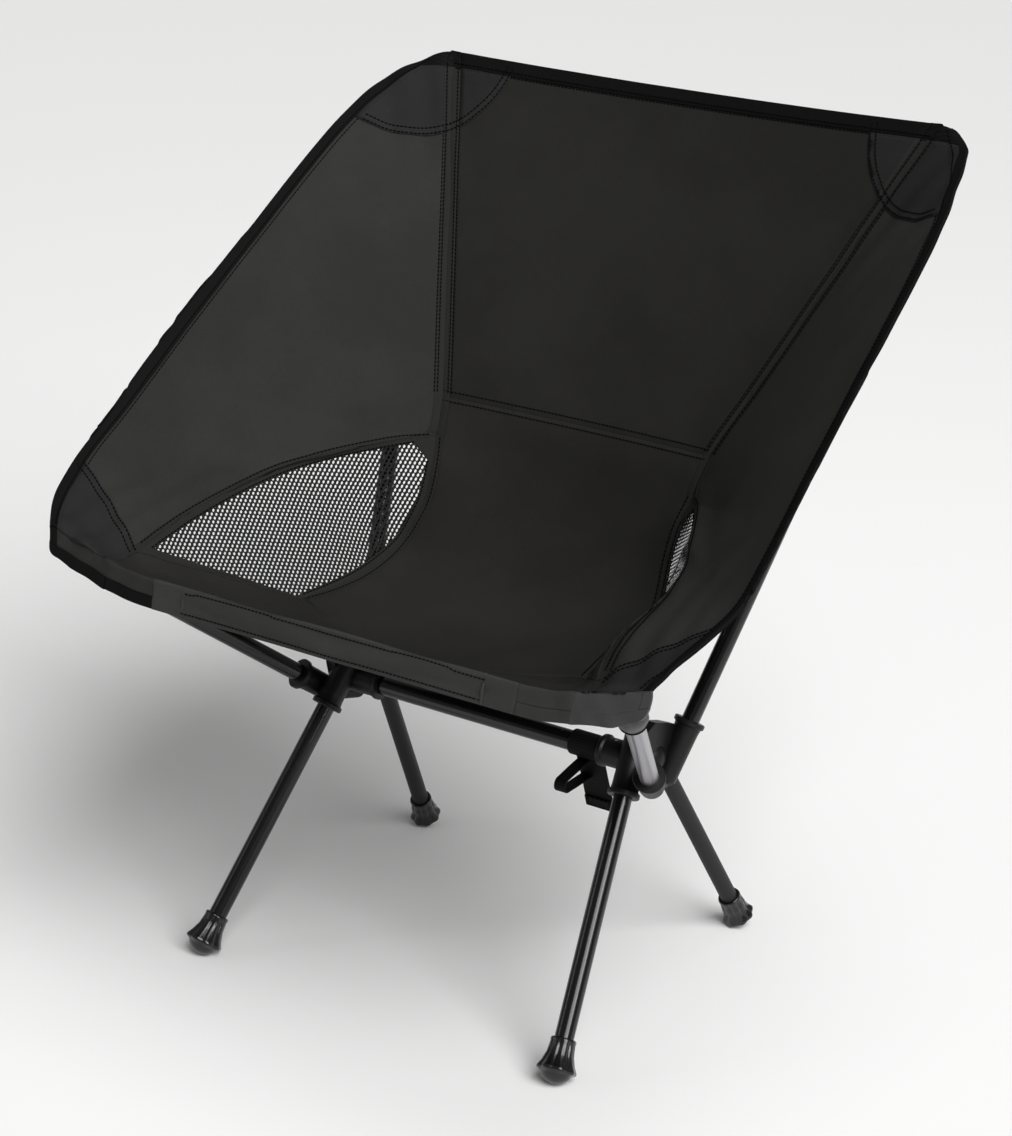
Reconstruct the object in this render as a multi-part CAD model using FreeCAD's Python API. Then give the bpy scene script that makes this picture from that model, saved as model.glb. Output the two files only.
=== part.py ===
import FreeCAD, Part
import os
from math import cos, pi, radians, sin
from FreeCAD import Vector

# Ultralight folding camp chair: four legs and four poles in two moulded hubs, one crossbar,
# and a fabric sling hung on the pole tips. Millimetres, +Z up, the sitter faces -Y.
# The right half (+X) is drawn and the left half is its mirror image.

# Tubes
front_tube_radius = 7.25
rear_leg_radius = 6.75
rear_pole_radius = 7.0
crossbar_radius = 8.0
tube_wall = 1.0
crossbar_wall = 1.2
slide_clearance = 0.08      # radial, between a leg and its socket
axial_gap = 0.2             # between a leg's end and the socket floor

# Hub
socket_wall = 3.0
socket_lip = 2.2            # how far the lip at a mouth stands out
lip_length = 3.5
flare_length = 9.0
socket_floor = 4.0
barrel_mouth = 104.5        # inner end of the barrel that holds the crossbar
barrel_wall = 3.2
crossbar_half = 122.0
cord_passage = 2.2
passage_depth = 3.0
passage_boss = 6.0
pin_radius = 1.5
web_inner = 139.0
web_thickness = 9.0

# Feet and tips
front_ball_radius = 13.0    # rounded soles that stand on the ground
rear_ball_radius = 11.0
tread_flat = 0.6            # depth of the small flat worn on each sole
sole_plane = 5.5            # the sole starts this far below the ball's centre
foot_sleeve = 21.0
flute_count = 10
cap_radius = 8.2
spigot_length = 12.0
ferrule_length = 64.0
cord_radius = 1.5
knot_radius = 3.4

# Sling
fabric_thickness = 1.6
mesh_thickness = 1.4
binding_thickness = 2.6
tape_thickness = 2.2
tape_width = 6.0            # each side of a seam
binding_width = 9.0
pocket_wall = 1.2
front_pocket_width = 14.0   # inner radius where the sleeve is widest
rear_pocket_width = 10.5

# Keeper strap on the crossbar
strap_width = 25.0
strap_thickness = 2.0
strap_right_edge = 103.0
strap_gap = 0.3
flap_length = 53.0
flap_lean = 18.0
loop_width = 10.0
loop_reach = 27.0
loop_drop = 17.0

# The lists below are measured from a datum on the ground under the crossbar's front side;
# the model's origin is this far behind it.
origin_back = 29.4


def at(x, y, z):
    return Vector(x, y - origin_back, z)


crossbar_axis = at(0, -13, 190)
hub_core = at(139, -4, 190)

# Each socket: its mouth, and the far end of the tube that it holds.
front_leg_mouth, front_leg_ball = at(140.5, -41, 172), at(167.2, -168, front_ball_radius - tread_flat)
rear_leg_mouth, rear_leg_ball = at(132.5, 24, 172), at(155.2, 109, rear_ball_radius - tread_flat)
front_pole_mouth, front_pole_tip = at(165, -44, 196.5), at(247.5, -201, 331)
rear_pole_mouth, rear_pole_tip = at(154.5, 31, 211), at(235, 255, 612)
front_leg_depth = 48.0
rear_leg_depth = 38.0
front_pole_depth = 36.0
rear_pole_depth = 48.0


def unit(a, b):
    return (b - a).normalize()


def rod(start, direction, length, radius):
    return Part.makeCylinder(radius, length, start, direction)


def pipe(start, end, outer, wall):
    direction = unit(start, end)
    length = (end - start).Length
    return rod(start, direction, length, outer).cut(rod(start, direction, length, outer - wall))


def turned(profile, base, direction):
    """Solid of revolution: profile is a list of (radius, distance along direction)."""
    points = [Vector(r, 0, h) for r, h in profile]
    face = Part.Face(Part.makePolygon(points + points[:1]))
    solid = face.revolve(Vector(0, 0, 0), Vector(0, 0, 1), 360)
    solid.Placement = FreeCAD.Placement(base, FreeCAD.Rotation(Vector(0, 0, 1), direction))
    return solid


def mirrored(shape):
    return shape.mirror(Vector(0, 0, 0), Vector(1, 0, 0))


def save(name, shape):
    shape.exportStep("parts/" + name + ".step")
    print(name, "valid" if shape.isValid() else "INVALID", len(shape.Solids), round(shape.Volume, 1))


def save_pair(name, right_shape):
    save(name + "_right", right_shape)
    save(name + "_left", mirrored(right_shape))


# ---- frame -------------------------------------------------------------------------------

sockets = [
    (front_leg_mouth, unit(front_leg_mouth, front_leg_ball), front_leg_depth, front_tube_radius,
     slide_clearance),
    (rear_leg_mouth, unit(rear_leg_mouth, rear_leg_ball), rear_leg_depth, rear_leg_radius, slide_clearance),
    (front_pole_mouth, unit(front_pole_mouth, front_pole_tip), front_pole_depth, front_tube_radius, 0),
    (rear_pole_mouth, unit(rear_pole_mouth, rear_pole_tip), rear_pole_depth, rear_pole_radius, 0),
]


def socket_body(mouth, outward, depth, radius):
    outer = radius + socket_wall
    profile = [
        (0, 0),
        (outer + socket_lip - 0.6, 0),
        (outer + socket_lip, 0.6),
        (outer + socket_lip, lip_length),
        (outer + 0.5, lip_length + 1.2),
        (outer, flare_length),
        (outer - 0.5, depth + socket_floor - 3),
        (outer - 3, depth + socket_floor),
        (0, depth + socket_floor),
    ]
    return turned(profile, mouth, -outward)


def hub():
    body = Part.makeSphere(13.5, hub_core)
    for mouth, outward, depth, radius, clearance in sockets:
        body = body.fuse(socket_body(mouth, outward, depth, radius))
    barrel_start = Vector(barrel_mouth, crossbar_axis.y, crossbar_axis.z)
    barrel_radius = crossbar_radius + barrel_wall
    barrel = turned(
        [(0, 0), (barrel_radius + 1.0, 0), (barrel_radius + 1.4, 0.6), (barrel_radius + 1.4, 3.4),
         (barrel_radius, 5), (barrel_radius, 34), (barrel_radius - 4, 38), (0, 38)],
        barrel_start, Vector(1, 0, 0))
    body = body.fuse(barrel)
    # upright web between the two pole sockets and over the legs
    outline = [(-30, 206), (-20, 218), (-8, 222), (8, 216), (24, 208), (14, 178), (-2, 172), (-24, 180)]
    corners = [at(web_inner, y, z) for y, z in outline]
    web = Part.Face(Part.makePolygon(corners + corners[:1])).extrude(Vector(web_thickness, 0, 0))
    body = body.fuse(web)
    passages = [passage_route(*sockets[:2]), passage_route(*sockets[2:])]
    for route in passages:
        body = body.fuse(cord_line(route[1:3], passage_boss))
    for mouth, outward, depth, radius, clearance in sockets:
        body = body.cut(rod(mouth + outward, -outward, depth + 1, radius + clearance))
    body = body.cut(rod(barrel_start - Vector(1, 0, 0), Vector(1, 0, 0), crossbar_half - barrel_mouth + 1,
                        crossbar_radius))
    for route in passages:
        body = body.cut(cord_line(route, cord_passage))
    return body.cut(crossbar_pin(pin_radius)).removeSplitter()


def crossbar_pin(radius):
    reach = crossbar_radius + barrel_wall
    start = Vector(barrel_mouth + 12, crossbar_axis.y, crossbar_axis.z - reach)
    return rod(start, Vector(0, 0, 1), 2 * reach, radius)


def crossbar():
    half = Vector(crossbar_half, 0, 0)
    bar = pipe(crossbar_axis - half, crossbar_axis + half, crossbar_radius, crossbar_wall)
    pin = crossbar_pin(pin_radius)
    return bar.cut(pin).cut(mirrored(pin))


def leg(mouth, ball, depth, radius):
    outward = unit(mouth, ball)
    return pipe(mouth - outward * (depth - axial_gap), ball - outward * 4, radius, tube_wall)


def foot(mouth, ball, radius, ball_radius):
    upward = unit(ball, mouth)
    profile = [
        (0, -sole_plane),
        ((ball_radius ** 2 - sole_plane ** 2) ** 0.5, -sole_plane),
        (ball_radius * cos(radians(12)), -ball_radius * sin(radians(12))),
        (ball_radius, 0),
        (ball_radius - 0.4, 2),
        (radius + 3.9, 5.5),
        (radius + 3.2, 9),
        (radius + 2.5, foot_sleeve - 3),
        (radius + 2.9, foot_sleeve - 2.4),
        (radius + 2.9, foot_sleeve - 0.6),
        (radius + 2.3, foot_sleeve),
        (radius, foot_sleeve),
        (radius, 4),
        (0, 4),
    ]
    body = turned(profile, ball, upward)
    side = upward.cross(Vector(1, 0, 0)).normalize()
    other = upward.cross(side).normalize()
    for step in range(flute_count):
        angle = 2 * pi * (step + 0.5) / flute_count
        radial = side * cos(angle) + other * sin(angle)
        groove = rod(ball + upward * 9 + radial * (radius + 3.7), upward, foot_sleeve - 14, 1.3)
        body = body.cut(groove)
    return body


def sole(mouth, ball, ball_radius):
    upward = unit(ball, mouth)
    ground_ball = Part.makeSphere(ball_radius, ball)
    half_space = rod(ball - upward * sole_plane, -upward, ball_radius, ball_radius + 2)
    above_ground = rod(Vector(ball.x, ball.y, 0), Vector(0, 0, 1), 2 * ball_radius, 2 * ball_radius)
    return ground_ball.common(half_space).common(above_ground)


def pole(mouth, tip, depth, radius, begin, finish):
    """Length of pole between two distances from its lower end; finish None is the tip."""
    outward = unit(mouth, tip)
    start = mouth - outward * depth
    end = tip if finish is None else start + outward * finish
    return pipe(start + outward * begin, end, radius, tube_wall)


def tip_cap(mouth, tip, radius):
    outward = unit(mouth, tip)
    profile = [
        (1.9, -spigot_length),
        (radius - tube_wall, -spigot_length),
        (radius - tube_wall, 0),
        (cap_radius, 0),
        (cap_radius, 3),
        (cap_radius - 1.2, 6),
        (cap_radius - 3.4, 8),
        (0, 9),
        (0, -2),
        (1.9, -2),
    ]
    return turned(profile, tip, outward)


def rear_joint_distance():
    return rear_pole_depth + 0.44 * (rear_pole_tip - rear_pole_mouth).Length


def ferrule():
    outward = unit(rear_pole_mouth, rear_pole_tip)
    middle = rear_pole_mouth + outward * (rear_joint_distance() - rear_pole_depth)
    half = outward * ferrule_length / 2
    return pipe(middle - half, middle + half, rear_pole_radius - tube_wall, tube_wall)


def leg_cord(mouth, ball, depth):
    outward = unit(mouth, ball)
    start = mouth - outward * (depth - 1.5)
    end = ball - outward * 5.5
    knot = Part.makeSphere(knot_radius, end - outward * knot_radius)
    return rod(start, outward, (end - start).Length - knot_radius, cord_radius).fuse(knot)


def cord_line(points, radius):
    line = Part.makeSphere(radius, points[0])
    for a, b in zip(points, points[1:]):
        line = line.fuse(rod(a, unit(a, b), (b - a).Length, radius)).fuse(Part.makeSphere(radius, b))
    return line


def passage_route(first, second):
    """Way through the hub from one socket's floor to another's."""
    ends = []
    for mouth, outward, depth, radius, clearance in (first, second):
        floor_centre = mouth - outward * depth
        ends.append((floor_centre, floor_centre - outward * passage_depth))
    return [ends[0][0], ends[0][1], ends[1][1], ends[1][0]]


def pole_cord():
    """Elastic cord from the front tip cap through the hub to the rear tip cap."""
    front_end = front_pole_tip - unit(front_pole_mouth, front_pole_tip) * (spigot_length + 0.5)
    rear_end = rear_pole_tip - unit(rear_pole_mouth, rear_pole_tip) * (spigot_length + 0.5)
    cord = cord_line([front_end] + passage_route(*sockets[2:]) + [rear_end], cord_radius)
    for end, mouth in ((front_end, front_pole_mouth), (rear_end, rear_pole_mouth)):
        knot_centre = end + unit(end, mouth) * knot_radius
        cord = cord.fuse(Part.makeSphere(knot_radius, knot_centre))
    return cord


def hub_leg_cord():
    """The leg cord's stretch inside the hub, from one leg socket to the other."""
    route = passage_route(*sockets[:2])
    inset = cord_radius + 0.3
    route[0] = route[0] + unit(route[0], route[1]) * inset
    route[-1] = route[-1] + unit(route[-1], route[-2]) * inset
    return cord_line(route, cord_radius)


# ---- keeper strap ------------------------------------------------------------------------

def strap_wrap():
    inner = crossbar_radius + 0.1
    start = Vector(strap_right_edge - strap_width, crossbar_axis.y, crossbar_axis.z)
    along = Vector(1, 0, 0)
    outer = rod(start, along, strap_width, inner + strap_thickness)
    return outer.cut(rod(start, along, strap_width, inner))


def strap_point(x, back, down):
    return Vector(x, crossbar_axis.y + back, crossbar_axis.z - down)


def ribbon(path, x_start, width):
    """Band of webbing: a closed outline in the YZ plane pushed along X."""
    corners = [strap_point(x_start, back, down) for back, down in path]
    return Part.Face(Part.makePolygon(corners + corners[:1])).extrude(Vector(width, 0, 0))


def strap_flap():
    lean = radians(flap_lean)
    down = (sin(lean), cos(lean))
    across = (cos(lean), -sin(lean))
    top = crossbar_radius + 0.1 + strap_thickness + strap_gap
    half = strap_thickness / 2

    def corner(distance, side):
        return (down[0] * distance + across[0] * side, down[1] * distance + across[1] * side)
    path = [corner(top + 0.4, -half), corner(top + flap_length, -half),
            corner(top + flap_length, half), corner(top + 0.4, half)]
    return ribbon(path, strap_right_edge - strap_width, strap_width)


def strap_loop():
    """Flat band bent into a long loop that stands forward of the flap."""
    x_start = strap_right_edge - strap_width + 2
    lean = radians(flap_lean)
    slope = sin(lean) / cos(lean)
    top = 14.0
    face = -strap_thickness / 2 / cos(lean)
    start = (top * slope + face, top)
    end = ((top + loop_drop) * slope + face, top + loop_drop)
    centre = (-loop_reach + loop_drop * 0.36, top + loop_drop * 0.62)
    nose = loop_drop * 0.36

    def band(radius):
        upper = Vector(0, centre[0], -centre[1] + radius)
        lower = Vector(0, centre[0], -centre[1] - radius)
        front = Vector(0, centre[0] - radius, -centre[1])
        return upper, front, lower
    outer_start, outer_end = Vector(0, start[0], -start[1]), Vector(0, end[0], -end[1])
    inner_start = outer_start + Vector(0, (strap_thickness + 0.4) * slope, -strap_thickness - 0.4)
    inner_end = outer_end - Vector(0, (strap_thickness + 0.4) * slope, -strap_thickness - 0.4)
    upper, front, lower = band(nose)
    upper_in, front_in, lower_in = band(nose - strap_thickness)
    edges = [
        Part.LineSegment(outer_start, upper).toShape(),
        Part.Arc(upper, front, lower).toShape(),
        Part.LineSegment(lower, outer_end).toShape(),
        Part.LineSegment(outer_end, inner_end).toShape(),
        Part.LineSegment(inner_end, lower_in).toShape(),
        Part.Arc(lower_in, front_in, upper_in).toShape(),
        Part.LineSegment(upper_in, inner_start).toShape(),
        Part.LineSegment(inner_start, outer_start).toShape(),
    ]
    band_shape = Part.Face(Part.Wire(edges)).extrude(Vector(loop_width, 0, 0))
    band_shape.translate(Vector(x_start, crossbar_axis.y, crossbar_axis.z))
    return band_shape


# ---- sling -------------------------------------------------------------------------------
# Points on the sling's middle surface, right half. Rows run from the middle of the chair
# outwards and stations run from the back to the front.

back_rows = [(at(0, 274, 627), at(224, 258, 634)), (at(0, 111, 393), at(125, 101, 396))]
back_row_shares = [0, 0.045, 0.2, 0.36, 0.52, 0.68, 0.84, 1]
back_belly = 6.0

# seat: middle of the row, seam at the row's end
seat_rows = [
    (at(0, 111, 393), at(125, 101, 396)),
    (at(0, 100, 362), at(121, 84, 368)),
    (at(0, 86, 334), at(116, 72, 348)),
    (at(0, 68, 308), at(115, 60, 324)),
    (at(0, 45, 287), at(118, 48, 306)),
    (at(0, 18, 272), at(121, 34, 292)),
    (at(0, -14, 265), at(121, 8, 285)),
    (at(0, -45, 264), at(121, -18, 282)),
    (at(0, -73, 267), at(124, -42, 280.5)),
    (at(0, -97, 273), at(128, -62, 280)),
    (at(0, -113, 278), at(131, -76, 280.3)),
    (at(0, -120, 281), at(132, -82, 280.6)),
]

# upper edge of the mesh window, one point for each seat row from the second on
mesh_upper = [
    at(121, 84, 368), at(134, 68, 369), at(147, 45, 369), at(160, 20, 368.5), at(172, -4, 367),
    at(184, -28, 364), at(192, -56, 360.5), at(199, -88, 355), at(205, -128, 347), at(209.5, -169, 335.8),
    at(210, -175, 334),
]

# outer edge of the side, one point for each station of the side's inner edge
side_outline = [
    at(236.5, 254.5, 631.5), at(249, 240.5, 625.5), at(268, 216, 616), at(280, 186, 601), at(282, 130, 565), at(284, 60, 520),
    at(286.5, -2, 482), at(289, -45, 454),
    at(290, -66, 440), at(290.5, -82, 428), at(291, -98, 417), at(292, -113, 407), at(293, -128, 398),
    at(292.5, -140, 392), at(290, -153, 387), at(286.5, -165, 382), at(284, -173, 378.5),
    at(282, -180, 375.5), at(280, -187, 372.5), at(276.5, -195, 368.5), at(272, -203, 364),
    at(263, -213, 357),
]

# The front edge hangs between the front corners: level in the middle, rising to each end.
front_level = 313.0
front_rise = 21.0
front_flat_half = 165.0
front_end_half = 255.0
hem_height = 21.0
fold_y = -209.0
lower_y = -215.0
fold_corner_x = 215.0
fold_outer_x = 240.0
row_steps = [0, 0.34, 0.68]
side_steps = [0.36, 0.66]


def toward(a, b, distance):
    """Point this far from a on the way to b, or a share of the way when they are close."""
    gap = (b - a).Length
    return a + (b - a) * min(distance / gap, 0.3)


def curved_row(middle, end, belly=0.0):
    """From the chair's middle to a seam: level at the middle, steepest at the seam."""
    row = []
    for s in row_steps:
        x = middle.x + (end.x - middle.x) * s
        y = middle.y + (end.y - middle.y) * s ** 2 + belly * (1 - s ** 2)
        z = middle.z + (end.z - middle.z) * s ** 2
        row.append(Vector(x, y, z))
    row.append(toward(end, row[-1], tape_width))
    row.append(end)
    return row


def back_grid():
    (top_middle, top_end), (low_middle, low_end) = back_rows
    rows = []
    for t in back_row_shares:
        middle = top_middle + (low_middle - top_middle) * t
        end = top_end + (low_end - top_end) * t
        rows.append(curved_row(middle, end, back_belly * sin(pi * t)))
    return rows


def crossing_row(a, b, last_width):
    """From one seam to another, with a tape's width at the first and last_width at the second."""
    middle = [a + (b - a) * s for s in side_steps]
    return [a, toward(a, b, tape_width)] + middle + [toward(b, a, last_width), b]


def front_edge(x):
    """Height of the hem's lower edge."""
    beyond = max(0.0, x - front_flat_half) / (front_end_half - front_flat_half)
    return front_level + front_rise * beyond ** 2


def fold_point(x):
    return at(x, fold_y, front_edge(x) + hem_height)


def lower_point(x):
    return at(x, lower_y, front_edge(x))


back = back_grid()
seat = [curved_row(middle, end) for middle, end in seat_rows]
mesh = [crossing_row(end, upper, tape_width) for (middle, end), upper in zip(seat_rows[2:], mesh_upper[1:])]
strip = seat[-1] + mesh[-1][1:]
fold = [fold_point(p.x * fold_corner_x / strip[-1].x) for p in strip]
front_sag = Vector(0, 0, -4)
ramp = [a + (b - a) * 0.5 + front_sag for a, b in zip(strip, fold)]
side_inner = [row[-1] for row in back] + mesh_upper + [ramp[-1], fold[-1], fold_point(fold_outer_x)]
assert len(side_inner) == len(side_outline)
side = [crossing_row(a, b, binding_width) for a, b in zip(side_inner, side_outline)]
hem_top = fold + side[-1]
hem_bottom = [lower_point(p.x - 3 * (p.x / front_end_half) ** 2) for p in hem_top]


def cells(rows, row_range, column_range):
    faces = []
    for i in row_range:
        for j in column_range:
            faces.append([rows[i][j], rows[i][j + 1], rows[i + 1][j + 1], rows[i + 1][j]])
    return faces


# Which cells of the grids each cloth piece is cut from. Cells turn clockwise seen by the sitter.
rear_corner = len(back) - 1             # the side's station at the seat and back seam
mesh_start = rear_corner + 1            # the station where the mesh window begins
mesh_end = mesh_start + len(mesh)       # the station at the window's front tip
side_end = len(side) - 1
fan = [[mesh_upper[0], mesh[0][j + 1], mesh[0][j]] for j in range(5)]

half_pieces = {
    "top_hem": cells(back, [0], range(3)),
    "back_panel": cells(back, range(1, rear_corner), range(3)),
    "seat_panel": cells(seat, range(len(seat) - 1), range(3)) + cells([strip, ramp, fold], range(2), range(9)),
    "front_hem": cells([hem_top, hem_bottom], [0], range(len(hem_top) - 1)),
    "side_panel": cells(side, range(side_end), range(1, 4)) + cells(side, range(mesh_end, side_end), [0]),
    "side_binding": cells(side, range(side_end), [4]),
    "back_seam_tape": cells(back, range(rear_corner), [3]) + cells(side, range(mesh_start), [0])
    + cells(seat, [0], [3]),
    "mesh_tape": cells(seat, range(1, len(seat) - 1), [3]) + cells(side, range(mesh_start, mesh_end), [0])
    + cells(mesh, range(len(mesh) - 1), [0, 4]) + cells(mesh, [len(mesh) - 2], range(1, 4)) + fan,
    "mesh_window": cells(mesh, range(len(mesh) - 2), range(1, 4)),
}
whole_pieces = {"back_panel": fabric_thickness, "seat_panel": fabric_thickness,
                "top_hem": binding_thickness, "front_hem": binding_thickness}
paired_pieces = {"side_panel": fabric_thickness, "side_binding": binding_thickness,
                 "back_seam_tape": tape_thickness, "mesh_tape": tape_thickness,
                 "mesh_window": mesh_thickness}


def key(point):
    return (round(point.x, 3), round(point.y, 3), round(point.z, 3))


def reflected(face):
    return [Vector(-p.x, p.y, p.z) for p in reversed(face)]


def vertex_normals():
    """One direction for each point of the whole sling, so that neighbours meet face to face."""
    normals = {}
    for faces in half_pieces.values():
        for face in faces + [reflected(f) for f in faces]:
            across = (face[2] - face[0]).cross(face[-1] - face[1])
            for point in face:
                normals[key(point)] = normals.get(key(point), Vector()) + across
    for direction in normals.values():
        direction.normalize()
    return normals


normals = vertex_normals()


def cloth(faces, thickness):
    """Closed solid of even thickness about the middle surface that the faces make."""
    points, indices, facets, edges = [], {}, [], {}
    for face in faces:
        for point in face:
            if key(point) not in indices:
                indices[key(point)] = len(points)
                shift = normals[key(point)] * (thickness / 2)
                points += [point - shift, point + shift]
    for face in faces:
        corners = [indices[key(p)] for p in face]
        pivot = corners.index(min(corners))
        corners = corners[pivot:] + corners[:pivot]
        for b, c in zip(corners[1:], corners[2:]):
            facets += [(corners[0], c, b), (corners[0] + 1, b + 1, c + 1)]
        for a, b in zip(corners, corners[1:] + corners[:1]):
            edges[(a, b)] = True
    for a, b in edges:
        if (b, a) not in edges:
            if key(points[a]) < key(points[b]):
                facets += [(a, b, b + 1), (a, b + 1, a + 1)]
            else:
                facets += [(a, b, a + 1), (b, b + 1, a + 1)]
    shell = Part.Shape()
    shell.makeShapeFromMesh((points, facets), 0.001)
    solid = Part.makeSolid(shell)
    if solid.Volume < 0:
        solid.reverse()
    return solid


def pocket(mouth, tip, tube_radius, length, width):
    """Sewn sleeve that takes a pole's tip: loose near the tip, close round the tube at its mouth."""
    mouth_inner = tube_radius + 1.0
    outline = [(mouth_inner, -length), (mouth_inner, 4 - length), (width, -8),
               (max(width - 3.2, cap_radius + 0.6), 2), (cap_radius - 1.5, 9.5)]
    inside = [(0, 9.6)] + outline[::-1]
    outside = [(r + pocket_wall, h) for r, h in outline] + [(0, 9.6 + pocket_wall)]
    return turned(inside + outside, tip, unit(mouth, tip))


# ---- build -------------------------------------------------------------------------------

os.makedirs("parts", exist_ok=True)

save_pair("hub", hub())
save("crossbar", crossbar())
pin = crossbar_pin(pin_radius)
save("crossbar_pins", Part.makeCompound([pin, mirrored(pin)]))

for name, mouth, ball, depth, radius, ball_radius in [
        ("front", front_leg_mouth, front_leg_ball, front_leg_depth, front_tube_radius, front_ball_radius),
        ("rear", rear_leg_mouth, rear_leg_ball, rear_leg_depth, rear_leg_radius, rear_ball_radius)]:
    save_pair(name + "_leg", leg(mouth, ball, depth, radius))
    save_pair(name + "_foot", foot(mouth, ball, radius, ball_radius))
    save_pair(name + "_sole", sole(mouth, ball, ball_radius))
    save_pair(name + "_leg_cord", leg_cord(mouth, ball, depth))

save_pair("front_pole", pole(front_pole_mouth, front_pole_tip, front_pole_depth, front_tube_radius, 0, None))
joint = rear_joint_distance()
save_pair("rear_pole_lower", pole(rear_pole_mouth, rear_pole_tip, rear_pole_depth, rear_pole_radius, 0, joint))
save_pair("rear_pole_upper", pole(rear_pole_mouth, rear_pole_tip, rear_pole_depth, rear_pole_radius, joint, None))
save_pair("rear_pole_ferrule", ferrule())
save_pair("front_tip_cap", tip_cap(front_pole_mouth, front_pole_tip, front_tube_radius))
save_pair("rear_tip_cap", tip_cap(rear_pole_mouth, rear_pole_tip, rear_pole_radius))
save_pair("pole_cord", pole_cord())
save_pair("hub_leg_cord", hub_leg_cord())

save_pair("front_pocket", pocket(front_pole_mouth, front_pole_tip, front_tube_radius, 38,
                                 front_pocket_width))
save_pair("rear_pocket", pocket(rear_pole_mouth, rear_pole_tip, rear_pole_radius, 52, rear_pocket_width))

for name, thickness in whole_pieces.items():
    faces = half_pieces[name]
    save(name, cloth(faces + [reflected(f) for f in faces], thickness))
for name, thickness in paired_pieces.items():
    save_pair(name, cloth(half_pieces[name], thickness))

save("strap_wrap", strap_wrap())
save("strap_flap", strap_flap())
save("strap_loop", strap_loop())
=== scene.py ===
from math import atan2, cos, exp, pi, radians, sin
import bpy
from mathutils import Matrix, Vector, noise
from mathutils.bvhtree import BVHTree


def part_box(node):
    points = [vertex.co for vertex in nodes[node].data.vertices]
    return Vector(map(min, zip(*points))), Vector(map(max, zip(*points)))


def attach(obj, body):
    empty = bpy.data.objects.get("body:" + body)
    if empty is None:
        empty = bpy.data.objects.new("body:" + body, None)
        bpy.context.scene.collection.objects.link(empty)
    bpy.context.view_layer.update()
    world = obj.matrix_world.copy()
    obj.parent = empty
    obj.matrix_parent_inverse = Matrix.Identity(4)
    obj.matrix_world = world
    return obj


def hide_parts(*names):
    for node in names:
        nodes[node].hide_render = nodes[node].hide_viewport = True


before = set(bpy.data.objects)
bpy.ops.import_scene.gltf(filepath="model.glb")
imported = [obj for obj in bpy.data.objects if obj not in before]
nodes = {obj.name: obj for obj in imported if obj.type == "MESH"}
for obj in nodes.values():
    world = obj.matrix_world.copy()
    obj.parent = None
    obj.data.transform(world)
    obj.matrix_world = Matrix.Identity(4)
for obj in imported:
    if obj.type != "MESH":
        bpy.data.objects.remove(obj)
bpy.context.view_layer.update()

# Ultralight folding camp chair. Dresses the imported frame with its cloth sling, seams, stitching,
# pockets, webbing and finishes. Metres, +Z up, the sitter faces -Y.

signs = {"right": 1, "left": -1}


def middleOf(node):
    low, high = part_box(node)
    return (low + high) / 2


barCentre = middleOf("crossbar")
barRadius = (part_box("crossbar")[1].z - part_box("crossbar")[0].z) / 2
datumY = barCentre.y + 0.013     # the chair's points are measured from just ahead of the crossbar


# a point in millimetres from the datum, as metres in the frame
def at(x, y, z):
    return Vector((x / 1000, y / 1000 + datumY, z / 1000))


def mirrorX(p):
    return Vector((-p.x, p.y, p.z))


# a point given for the right half, on the side that the sign says
def onSide(p, sign):
    return p if sign > 0 else mirrorX(p)


camera = {
    "place": at(1210.9, -1729.9, 1179.6),
    "aim": at(0, 0, 322),
    "roll": -0.26,
    "lens": 94.6,
    "shift": (0.0060, -0.0126),
    "sensor": 36,
    "clip": (0.05, 60),
}


def makeCamera(c):
    data = bpy.data.cameras.new("camera")
    eye = bpy.data.objects.new("camera", data)
    bpy.context.scene.collection.objects.link(eye)
    data.lens = c["lens"]
    data.sensor_width = c["sensor"]
    data.shift_x, data.shift_y = c["shift"]
    data.clip_start, data.clip_end = c["clip"]
    turn = (c["aim"] - c["place"]).to_track_quat("-Z", "Y").to_matrix().to_4x4()
    roll = Matrix.Rotation(radians(c["roll"]), 4, "Z")
    eye.matrix_world = Matrix.Translation(c["place"]) @ turn @ roll
    bpy.context.scene.camera = eye


makeCamera(camera)
print("camera placed")

lampAim = Vector((0, 0, 0.3))
lamps = [
    {"name": "key", "kind": "SUN", "place": (1.7, -0.7, 2.3), "power": 3.0, "angle": 0.8},
    {"name": "rightStrip", "kind": "AREA", "place": (2.2, -0.9, 1.3), "size": (0.14, 1.5), "power": 8},
    {"name": "leftStrip", "kind": "AREA", "place": (-2.0, -1.6, 1.2), "size": (0.10, 1.3), "power": 3},
    {"name": "overhead", "kind": "AREA", "place": (0.4, 0.4, 2.4), "size": (1.2, 0.5), "power": 10},
]
room = {"sky": (1.0, 1.0, 1.0), "skyStrength": 0.20, "backdrop": (0.88, 0.88, 0.875)}


def makeLamp(lamp):
    data = bpy.data.lights.new(lamp["name"], lamp["kind"])
    data.energy = lamp["power"]
    if lamp["kind"] == "SUN":
        data.angle = lamp["angle"]
    else:
        data.shape = "RECTANGLE"
        data.size, data.size_y = lamp["size"]
    thing = bpy.data.objects.new(lamp["name"], data)
    bpy.context.scene.collection.objects.link(thing)
    thing.location = lamp["place"]
    thing.rotation_mode = "QUATERNION"
    thing.rotation_quaternion = (lampAim - Vector(lamp["place"])).to_track_quat("-Z", "Y")


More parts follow.
